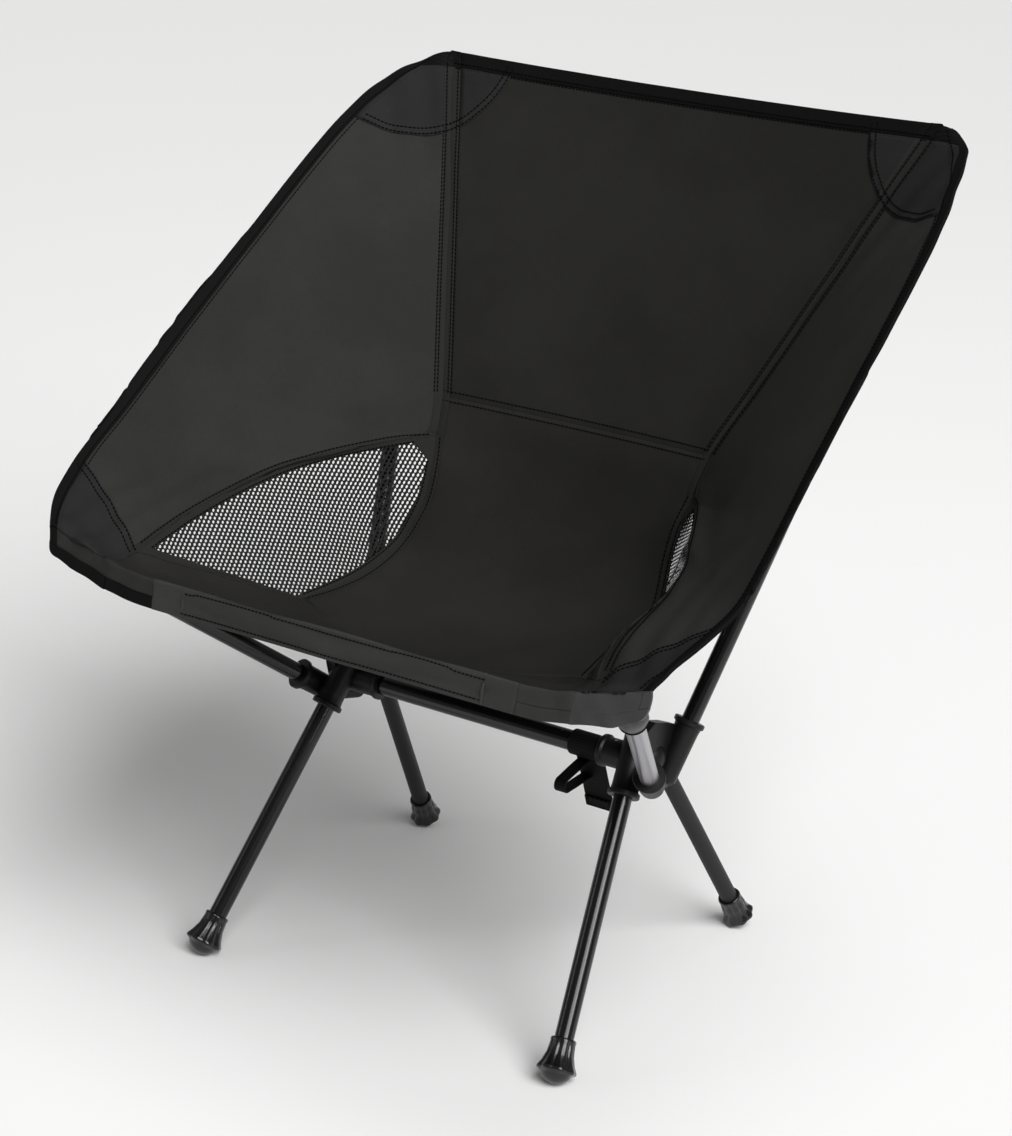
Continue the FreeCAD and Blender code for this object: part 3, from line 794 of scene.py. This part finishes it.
# the points and faces of one piece of the surface
def cutPiece(index):
    used, faces = {}, []
    for face in surface.polygons:
        if face.material_index == index:
            faces.append([used.setdefault(v, len(used)) for v in face.vertices])
    points = [surface.vertices[v].co for v in used]
    return points, faces


# flattens the cloth into UVs in metres, with the weave square to the piece
def unwrap(thing):
    bpy.context.view_layer.objects.active = thing
    for other in bpy.context.selected_objects:
        other.select_set(False)
    thing.select_set(True)
    thing.data.uv_layers.new(name="cloth")
    bpy.ops.object.mode_set(mode="EDIT")
    bpy.ops.mesh.select_all(action="SELECT")
    bpy.ops.uv.unwrap(method="CONFORMAL", margin=0.0)
    bpy.ops.object.mode_set(mode="OBJECT")
    mesh = thing.data
    layer = mesh.uv_layers["cloth"]
    area3, area2, turn = 0.0, 0.0, Vector((0, 0))
    for face in mesh.polygons:
        uv = [layer.data[i].uv.copy() for i in face.loop_indices]
        co = [mesh.vertices[mesh.loops[i].vertex_index].co for i in face.loop_indices]
        area3 += face.area
        area2 += abs(sum(a.x * b.y - b.x * a.y for a, b in zip(uv, uv[1:] + uv[:1]))) / 2
        for a, b, p, q in zip(uv, uv[1:], co, co[1:]):
            step = q - p
            if abs(step.x) > 0.5 * step.length:
                turn += (b - a) * (1 if step.x > 0 else -1)
    scale = (area3 / max(area2, 1e-12)) ** 0.5
    angle = atan2(turn.y, turn.x)
    c, s = cos(-angle) * scale, sin(-angle) * scale
    for item in layer.data:
        x, y = item.uv
        item.uv = (x * c - y * s, x * s + y * c)


# each finish and its pieces, of both sides where no side is named
finishes = {
    "binding": ("top_hem", "side_binding", "corner_lower_left", "corner_end_left", "turn_lower_left"),
    "side_fabric": ("side_panel", "corner_upper_left", "turn_upper_left"),
    "front_band": ("front_hem", "turn_upper_right", "turn_lower_right"),
    "pocket_fabric": ("corner_lower_right", "corner_upper_right", "corner_end_right"),
    "seam_tape": ("back_seam_tape", "mesh_tape"),
    "back_fabric": ("back_panel",), "seat_fabric": ("seat_panel",), "mesh": ("mesh_window",),
}
finishOf = {piece: finish for finish, group in finishes.items() for piece in group}
edgeShare = 0.35     # how much of its thickness a piece's edge is rounded by
slingPieces = {}
for index, name in enumerate(pieceNames):
    finish = finishOf.get(name) or finishOf[name.rsplit("_", 1)[0]]
    thing = makeObject("sling_" + name, *cutPiece(index), materials[finish])
    unwrap(thing)
    thicken(thing, thickness[finish])
    if finish != "mesh":
        roundEdges(thing, thickness[finish] * edgeShare, 2)
    if name in nodes:
        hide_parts(name)
    slingPieces[name] = thing
print("sling cut into", len(slingPieces), "pieces")


# the part of a mesh where the given height is above zero, with new points where it crosses
def clipFaces(corners, faces, heights):
    points, index, kept = [], {}, []

    def keep(key, p):
        if key not in index:
            index[key] = len(points)
            points.append(p)
        return index[key]

    for face in faces:
        loop = []
        for i, j in zip(face, face[1:] + face[:1]):
            if heights[i] > 0:
                loop.append(keep(i, corners[i]))
            if (heights[i] > 0) != (heights[j] > 0):
                a, b = sorted((i, j))
                loop.append(keep((a, b), corners[a].lerp(corners[b], heights[a] / (heights[a] - heights[b]))))
        if len(loop) > 2:
            kept.append(loop)
    return points, kept


# a second layer of cloth stitched over the sling's corner, on the sitter's side
patchGauge = {"lift": 0.0007, "thickness": 0.0007}
for side, sign in signs.items():
    for patch in patches:
        centre = onSide(patch["centre"], sign)
        heights = [patch["reach"] - (v.co - centre).length for v in surface.vertices]
        spots = [v.co + v.normal * patchGauge["lift"] for v in surface.vertices]
        for kind in patch["on"]:
            piece = pieceNames.index(kind if kind in wholePieces else kind + "_" + side)
            under = [list(f.vertices) for f in surface.polygons if f.material_index == piece]
            thing = makeObject("patch_" + patch["name"] + "_" + kind + "_" + side,
                               *clipFaces(spots, under, heights), materials["patch_fabric"])
            unwrap(thing)
            thicken(thing, patchGauge["thickness"])

skin = BVHTree.FromPolygons([v.co for v in surface.vertices], [list(f.vertices) for f in surface.polygons])
stitch = {"pitch": 0.0034, "length": 0.0029, "radius": 0.00055, "sides": 5, "shoulders": (0.2, 0.8)}


# one stitch: a short thread, pointed at both ends
def addThread(start, finish, normal, points, faces):
    along = (finish - start).normalized()
    side = along.cross(normal).normalized()
    up = side.cross(along)
    base, n = len(points), stitch["sides"]
    points.append(start)
    for t in stitch["shoulders"]:
        centre = start.lerp(finish, t)
        for k in range(n):
            angle = 2 * pi * k / n
            points.append(centre + (side * cos(angle) + up * sin(angle)) * stitch["radius"])
    points.append(finish)
    for k in range(n):
        j = (k + 1) % n
        faces.append([base, base + 1 + j, base + 1 + k])
        faces.append([base + 1 + k, base + 1 + j, base + 1 + n + j, base + 1 + n + k])
        faces.append([base + 1 + 2 * n, base + 1 + n + k, base + 1 + n + j])


# threads lying on one side of the cloth along a line; face is 1 for the sitter's side, -1 for the back
def stitchRun(line, face, lift, points, faces):
    steps = smoothLine(line, stitch["pitch"])
    for a, b in zip(steps, steps[1:]):
        ends = []
        for p in (a, a + (b - a).normalized() * stitch["length"]):
            spot, normal, _, _ = skin.find_nearest(p)
            ends.append((spot + normal * face * lift, normal))
        addThread(ends[0][0], ends[1][0], ends[0][1], points, faces)


edgeLine = {"points": 12, "passes": 6}


# where a patch's ball, made smaller by shrink, meets the sling
def patchLine(centre, reach, start, finish):
    line = []
    for i in range(edgeLine["points"] + 1):
        p = start.lerp(finish, i / edgeLine["points"])
        for _ in range(edgeLine["passes"] + 1):
            p = centre + (p - centre).normalized() * reach
            p = skin.find_nearest(p)[0]
        line.append(p)
    return line


def inset(rows, near, far, distance):
    return [row[near] + (row[far] - row[near]).normalized() * distance for row in rows]


def wholeLine(row):
    return [mirrorX(p) for p in reversed(row[1:])] + list(row)


backSides, windowSides = sideGrid[:rearCorner + 1], sideGrid[rearCorner + 1:windowEnd]
# each run's line and its lift off the cloth: on one side, then across the whole chair
seamLines = {
    "back_seam": [(inset(backGrid, 3, 2, 0.0015), 0.0006), (inset(backSides, 1, 2, 0.0015), 0.0006),
                  (inset(backGrid, 3, 4, 0.0010), 0.0011), (inset(backSides, 1, 0, 0.0010), 0.0011)],
    "binding": [(inset(sideGrid, 4, 5, 0.0014), 0.0015), (inset(sideGrid, 4, 3, 0.0030), 0.0006)],
    "window": [(inset(windowSides, 1, 0, 0.0012), 0.0011), (inset(windowGrid[:-1], 4, 5, 0.0012), 0.0011),
               (inset(windowGrid[:-1], 1, 0, 0.0012), 0.0011), (inset(seatGrid[1:-1], 3, 4, 0.0012), 0.0011)],
}
crossSeams = [
    (partWay(backGrid[0], backGrid[1], 0.80), 0.0015), (partWay(backGrid[0], backGrid[1], 1.12), 0.0006),
    (partWay(backGrid[rearCorner], seatGrid[1], 0.10), 0.0006),
    (partWay(backGrid[rearCorner], backGrid[rearCorner - 1], 0.10), 0.0006),
    (partWay(hemTop[:bandEnd], hemLow, 0.14), 0.0013), (partWay(hemTop[:bandEnd], hemLow, 0.86), 0.0013),
]
patchSeam = {"shrinks": (0.0015, 0.0065), "front": 0.0013, "back": 0.0006}


# sews runs of (line, lift on the sitter's side, lift on the back) and returns how many faces they have
def sew(name, runs):
    points, faces = [], []
    for line, *lifts in runs:
        for face, lift in ((1, lifts[0]), (-1, lifts[-1])):
            stitchRun(line, face, lift, points, faces)
    thing = makeObject("thread_" + name, points, faces, materials["thread"])
    writeUV(thing, lambda i: (points[i].x + points[i].y, points[i].z))
    return len(faces)


threadFaces = 0
for side, sign in signs.items():
    for seam, runs in seamLines.items():
        sideRuns = [([onSide(p, sign) for p in line], lift) for line, lift in runs]
        threadFaces += sew(seam + "_" + side, sideRuns)
    patchRuns = []
    for patch in patches:
        ends = [onSide(p, sign) for p in patch["ends"]]
        for shrink in patchSeam["shrinks"]:
            line = patchLine(onSide(patch["centre"], sign), patch["reach"] - shrink, *ends)
            patchRuns.append((line, patchSeam["front"], patchSeam["back"]))
    threadFaces += sew("patch_" + side, patchRuns)
threadFaces += sew("cross_seams", [(wholeLine(line), lift) for line, lift in crossSeams])
print("stitched:", threadFaces, "thread faces")

# sleeves that take the pole tips; rows: distance along the pole from its tip, half-width towards the
# chair's middle, half-width outwards, half-depth
sleeves = {
    "front": {
        "mouth": at(165, -44, 196.5), "tip": at(247.5, -201, 331), "across": (1, 0, 0),
        "rows": [(-20, 9.2, 9.2, 9.2), (-18.5, 9.8, 9.7, 9.7), (-15, 11.5, 9.9, 9.9), (-11, 17, 10.6, 10.4),
                 (-6, 22, 11.6, 10.6), (-1, 23, 12.2, 10.0), (4, 20, 11.5, 8.4), (8, 14, 9, 5.5),
                 (10.5, 5, 4, 2)],
    },
    "rear": {
        "mouth": at(154.5, 31, 211), "tip": at(235, 255, 612), "across": (1, -0.4, 0),
        "rows": [(-52, 9.0, 9.0, 9.0), (-50.5, 9.5, 9.5, 9.5), (-46, 9.9, 9.9, 9.7), (-36, 11, 11, 10.4),
                 (-26, 12.2, 12, 11), (-16, 12.8, 12.4, 11.4), (-7, 12.4, 12, 11.2), (1, 10.4, 10.2, 9.6),
                 (7, 7.4, 7.2, 6.8), (10.5, 3, 3, 2.6)],
    },
}
sleeveLook = {
    "around": 48, "between": 5, "thickness": 0.0008, "weave": (0.00096, 0.0012),
    "folds": 0.0007, "foldScale": 70, "foldAlong": Vector((0, -0.6, 0.4)),
    "pinch": 0.35, "crease": 0.09, "creases": 7, "twist": 220,
    "rimRows": 5, "rimThickness": 0.0030, "rimRound": 0.0008,
}
tuck = {"gap": 0.0010, "near": 0.03, "facing": 0.7, "slack": 0.0005, "push": 0.0025}


# keeps a sleeve's points on the underside of the sling
def tuckUnder(p):
    spot, normal, _, distance = skin.find_nearest(p)
    height = (p - spot).dot(normal)
    facing = abs(height) > tuck["facing"] * distance - tuck["slack"]
    if distance < tuck["near"] and height > -tuck["gap"] and facing:
        return p - normal * min(height + tuck["gap"], tuck["push"])
    return p


# a flat sleeve is pinched at its sides and creased over its faces
def sleeveRings(sleeve):
    axis = (sleeve["tip"] - sleeve["mouth"]).normalized()
    wide = Vector(sleeve["across"])
    wide = (wide - axis * wide.dot(axis)).normalized()
    deep = axis.cross(wide)
    rows, rings, n = sleeve["rows"], [], sleeveLook["around"]
    for four in zip([rows[0]] + rows, rows, rows[1:], rows[2:] + [rows[-1]]):
        for step in range(sleeveLook["between"]):
            t = step / sleeveLook["between"]
            h, inner, outer, depth = (catmull(*column, t) / 1000 for column in zip(*four))
            flat = max(0.0, min(1.0, (inner + outer) / (2.2 * depth) - 0.85)) if depth > 0 else 1.0
            ring = []
            for k in range(n):
                angle = 2 * pi * k / n
                c, s = cos(angle), sin(angle)
                pinch = 1 - sleeveLook["pinch"] * flat * c * c
                folds = cos(angle * sleeveLook["creases"] + h * sleeveLook["twist"])
                crease = 1 + sleeveLook["crease"] * folds * flat * abs(s)
                half = outer if c > 0 else inner
                ring.append(sleeve["tip"] + axis * h + wide * half * c + deep * depth * s * pinch * crease)
            rings.append(ring)
    return rings


# the faces of a tube of rings, each of n points
def tubeFaces(count, n):
    return [[i * n + k, i * n + (k + 1) % n, (i + 1) * n + (k + 1) % n, (i + 1) * n + k]
            for i in range(count - 1) for k in range(n)]


def makeSleeve(end, side, sign):
    rings, n = sleeveRings(sleeves[end]), sleeveLook["around"]
    points = []
    for ring in rings:
        for p in ring:
            p = tuckUnder(onSide(p, sign))
            fold = noise.noise(p * sleeveLook["foldScale"]) * sleeveLook["folds"]
            points.append(p + sleeveLook["foldAlong"] * fold)
    faces = tubeFaces(len(rings), n) + [[(len(rings) - 1) * n + k for k in range(n)][::-1]]
    if sign > 0:
        faces = [f[::-1] for f in faces]
    node = end + "_pocket_" + side
    cloth = makeObject("sleeve_" + node, points, faces, materials["pocket_fabric"])
    thicken(cloth, sleeveLook["thickness"])
    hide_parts(node)
    low = points[:n * sleeveLook["rimRows"]]
    rim = makeObject("sleeve_rim_" + end + "_" + side, low, [f for f in faces if max(f) < len(low)],
                     materials["binding"])
    thicken(rim, sleeveLook["rimThickness"])
    roundEdges(rim, sleeveLook["rimRound"], 3, 30)
    for thing in (cloth, rim):
        writeGrid(thing, n, *sleeveLook["weave"])


for side, sign in signs.items():
    for end in sleeves:
        makeSleeve(end, side, sign)
print("sleeves made")


# the smallest rectangle that a piece's flat cut fits in, and its area
def flatCut(thing):
    corners = [item.uv.copy() for item in thing.data.uv_layers["cloth"].data]
    best = None
    for turn in range(0, 90, 3):
        c, s = cos(radians(turn)), sin(radians(turn))
        xs = [p.x * c - p.y * s for p in corners]
        ys = [p.x * s + p.y * c for p in corners]
        wide, long = sorted((max(xs) - min(xs), max(ys) - min(ys)))
        if best is None or wide * long < best[0] * best[1]:
            best = (wide, long)
    return best, sum(face.area for face in thing.data.polygons)


# prints a cloth piece's flat rectangle and its area; the cloth is stretched between the pole tips, so the area
# printed never passes its own rectangle's
def declareSheet(name):
    thing = slingPieces[name]
    flat, area = flatCut(thing)
    area = min(area, 1.0009 * flat[0] * flat[1])
    print("sheet", thing.name, [round(x, 3) for x in flat], "area", round(area, 4))


declareSheet("back_panel")
declareSheet("seat_panel")
for side in signs:
    declareSheet("side_panel_" + side)
    declareSheet("mesh_window_" + side)

# a foot's tube end and rounded sole, and the radii of its sole and of the tube it grips, in millimetres
feet = {
    "front": {"mouth": at(140.5, -41, 172), "ball": at(167.2, -168, 12.4), "radius": 13.0, "tube": 7.25},
    "rear": {"mouth": at(132.5, 24, 172), "ball": at(155.2, 109, 10.4), "radius": 11.0, "tube": 6.75},
}
footLook = {"around": 120, "flutes": 8, "fluteDepth": 1.0, "lobes": 8, "lobeDepth": 1.1, "tread": 0.9995,
            "tilts": (0.44, 0.56, 0.70, 0.86, 1.04, 1.22, 1.38, 1.5), "floor": 0.0, "grain": (0.0007, 0.002)}


# rows from the rolled top edge down: distance up the leg from the sole's middle, radius, shares of the
# flutes' and lobes' depth
def footRows(foot, top):
    r, tube = foot["radius"], foot["tube"]
    rows = [(top - 0.4, tube + 0.2, 0, 0), (top, tube + 1.5, 0, 0), (top - 0.6, tube + 2.3, 0.1, 0),
            (top - 1.8, tube + 2.5, 0.3, 0), (top - 3.4, tube + 2.2, 1, 0), (top * 0.62, tube + 2.7, 1, 0),
            (top * 0.42, tube + 3.3, 1, 0), (r * 0.55, r * 0.86, 0.9, 0), (r * 0.2, r * 0.96, 0.6, 0.3),
            (-r * 0.05, r * 1.06, 0.2, 0.8), (-r * 0.17, r * 1.10, 0, 1), (-r * 0.27, r * 1.08, 0, 1),
            (-r * 0.35, r * 0.98, 0, 0.6)]
    return rows + [(-r * sin(tilt), r * cos(tilt) * footLook["tread"], 0, 0) for tilt in footLook["tilts"]]


def makeFoot(end, side, sign):
    foot, n = feet[end], footLook["around"]
    ball, mouth = onSide(foot["ball"], sign), onSide(foot["mouth"], sign)
    axis = (mouth - ball).normalized()
    wide = axis.cross(Vector((0, 1, 0))).normalized()
    deep = axis.cross(wide)
    node = end + "_foot_" + side
    top = max((v.co - ball).dot(axis) for v in nodes[node].data.vertices) * 1000
    rows, points = footRows(foot, top), []
    for height, radius, flute, lobe in rows:
        for k in range(n):
            angle = 2 * pi * k / n
            groove = footLook["fluteDepth"] * flute * (0.5 - 0.5 * cos(angle * footLook["flutes"])) ** 3
            bulge = footLook["lobeDepth"] * lobe * (0.5 + 0.5 * cos(angle * footLook["lobes"]))
            reach = (radius - groove + bulge) / 1000
            points.append(ball + axis * height / 1000 + (wide * cos(angle) + deep * sin(angle)) * reach)
    points.append(ball - axis * foot["radius"] / 1000)
    faces = [f[::-1] for f in tubeFaces(len(rows), n)]
    last = (len(rows) - 1) * n
    faces += [[last + (k + 1) % n, last + k, len(points) - 1] for k in range(n)]
    points = [Vector((p.x, p.y, max(p.z, footLook["floor"]))) for p in points]
    thing = makeObject("rubber_" + node, points, faces, materials["rubber"], end + "_leg_" + side + "_body")
    writeGrid(thing, n, *footLook["grain"])
    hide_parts(node, end + "_sole_" + side)


for side, sign in signs.items():
    for end in feet:
        makeFoot(end, side, sign)
print("feet made")

# webbing strap on the crossbar, with a finger loop; metres, the loop's drop and top measured down the flap
strap = {
    "right": 0.103, "width": 0.025, "thickness": 0.0020, "gap": 0.0003, "length": 0.053, "lean": radians(18),
    "loopWidth": 0.010, "loopReach": 0.031, "loopDrop": 0.017, "loopTop": 0.014, "loopInset": 0.002,
    "step": 0.0008, "clear": 0.0001, "hang": 0.0005, "turns": 64, "noseTurns": 12,
    "hemLength": 0.011, "hemLift": 0.0018, "hemInset": 0.0004, "hemThickness": 0.0016,
}
webbing = {"across": 14, "round": 0.3, "wobble": 0.0003, "frequency": (90, 0.12, 0.05, 500)}


# a point near the crossbar: metres along X, behind and below its middle
def byBar(x, back, down):
    return Vector((x, barCentre.y + back, barCentre.z - down))


# a band of webbing along a path of (back, down) points, its edges slightly uneven
def bandOfWebbing(name, path, left, width, thick, body, node, closed=False):
    across, count, points = webbing["across"], len(path), []
    perMetre, perThread, perStep, perPly = webbing["frequency"]
    for i, (back, down) in enumerate(path):
        for j in range(across + 1):
            edge = abs(2 * j / across - 1) ** 8
            spot = Vector((left * perMetre + j * perThread, i * perStep, thick * perPly))
            wobble = noise.noise(spot) * webbing["wobble"]
            points.append(byBar(left + width * j / across + wobble * edge, back, down))
    n = across + 1
    faces = [[i * n + j, i * n + j + 1, ((i + 1) % count) * n + j + 1, ((i + 1) % count) * n + j]
             for i in range(count if closed else count - 1) for j in range(across)]
    thing = makeObject(name, points, faces, materials["strap_webbing"], body)
    writeGrid(thing, n, width / across, strap["step"])
    thicken(thing, thick)
    roundEdges(thing, thick * webbing["round"], 3)
    if node:
        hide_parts(node)


def evenPath(corners):
    points = smoothLine([Vector((a, b, 0)) for a, b in corners], strap["step"])
    return [(p.x, p.y) for p in points]


width, ply, length, stride, lean = (strap[key] for key in ("width", "thickness", "length", "step", "lean"))
drop, loopTop, hemInset, turns = (strap[key] for key in ("loopDrop", "loopTop", "hemInset", "turns"))
strapLeft = strap["right"] - width
wrapRadius = barRadius + strap["clear"] + ply / 2
ringAngles = [2 * pi * i / turns for i in range(turns)]
ringPath = [(wrapRadius * sin(angle), wrapRadius * cos(angle)) for angle in ringAngles]
bandOfWebbing("strap_round_bar", ringPath, strapLeft, width, ply - 0.0002, "strap_slider", "strap_wrap", True)

flapTop = barRadius + ply + strap["gap"] + strap["hang"]
downhill = Vector((sin(lean), cos(lean)))
level = Vector((cos(lean), -sin(lean)))
flapPath = [downhill * (flapTop + t * stride) for t in range(int(length / stride) + 1)]
bandOfWebbing("strap_hanging", [tuple(p) for p in flapPath], strapLeft, width, ply, "strap_tail", "strap_flap")
hemPath = [p - level * strap["hemLift"] for p in flapPath
           if p.length > flapTop + length - strap["hemLength"]]
bandOfWebbing("strap_hem", [tuple(p) for p in hemPath], strapLeft + hemInset,
              width - 2 * hemInset, strap["hemThickness"], "strap_tail", None)

# the loop leaves the flap, turns round its nose and comes back lower down
slope = sin(lean) / cos(lean)
half = ply / 2
nose = drop * 0.36 - half
noseCentre = (-strap["loopReach"] + drop * 0.36, loopTop + drop * 0.62)
upperStart = (loopTop * slope - half, loopTop + half)
lowerEnd = ((loopTop + drop) * slope - half, loopTop + drop - half)
bend = []
for i in range(strap["noseTurns"] + 1):
    angle = pi * i / strap["noseTurns"]
    bend.append((noseCentre[0] - nose * sin(angle), noseCentre[1] - nose * cos(angle)))
upper = [tuple(Vector(upperStart).lerp(Vector(bend[0]), t)) for t in (0, 0.3, 0.6)]
lower = [tuple(Vector(bend[-1]).lerp(Vector(lowerEnd), t)) for t in (0.3, 0.6, 1)]
bandOfWebbing("strap_finger_loop", evenPath(upper + bend + lower), strapLeft + strap["loopInset"],
              strap["loopWidth"], ply - 0.0003, "strap_tail", "strap_loop")

# a box of stitches through the hem: metres along X and down the flap, and lifts off its two faces
boxSeam = {
    "corners": [(0.0025, 0.0435), (0.0225, 0.0435), (0.0225, 0.0515), (0.0025, 0.0515), (0.0025, 0.0435)],
    "lifts": (0.0027, -0.0011),
}
points, faces = [], []
flapNormal = Vector((0, -cos(lean), -sin(lean)))
spots = [byBar(strapLeft + x, *(downhill * (flapTop + down))) for x, down in boxSeam["corners"]]
for a, b in zip(spots, spots[1:]):
    count = int((b - a).length / stitch["pitch"])
    along = (b - a).normalized() * stitch["length"]
    for i in range(count):
        for lift in boxSeam["lifts"]:
            start = a.lerp(b, i / count) + flapNormal * lift
            addThread(start, start + along, flapNormal, points, faces)
strapThread = makeObject("thread_strap", points, faces, materials["thread"], "strap_tail")
writeUV(strapThread, lambda i: (points[i].x, points[i].z))
print("strap made")

floorLook = {"half": 9.0, "level": -0.0002, "grain": 3.0, "strength": 0.3, "dark": 0.97, "rough": 0.8}
paint = Paint("floor")
floorGrain = paint.grain(paint.place(), floorLook["grain"], 4) * floorLook["strength"]
paint.set(Base_Color=paint.mix(floorGrain, room["backdrop"], shade(room["backdrop"], floorLook["dark"])),
          Roughness=floorLook["rough"])
half = floorLook["half"]
floor = makeObject("floor", [Vector((x * half, y * half, floorLook["level"]))
                             for x, y in ((-1, -1), (1, -1), (1, 1), (-1, 1))],
                   [[0, 1, 2, 3]], paint.material, None)

print("all pieces made")
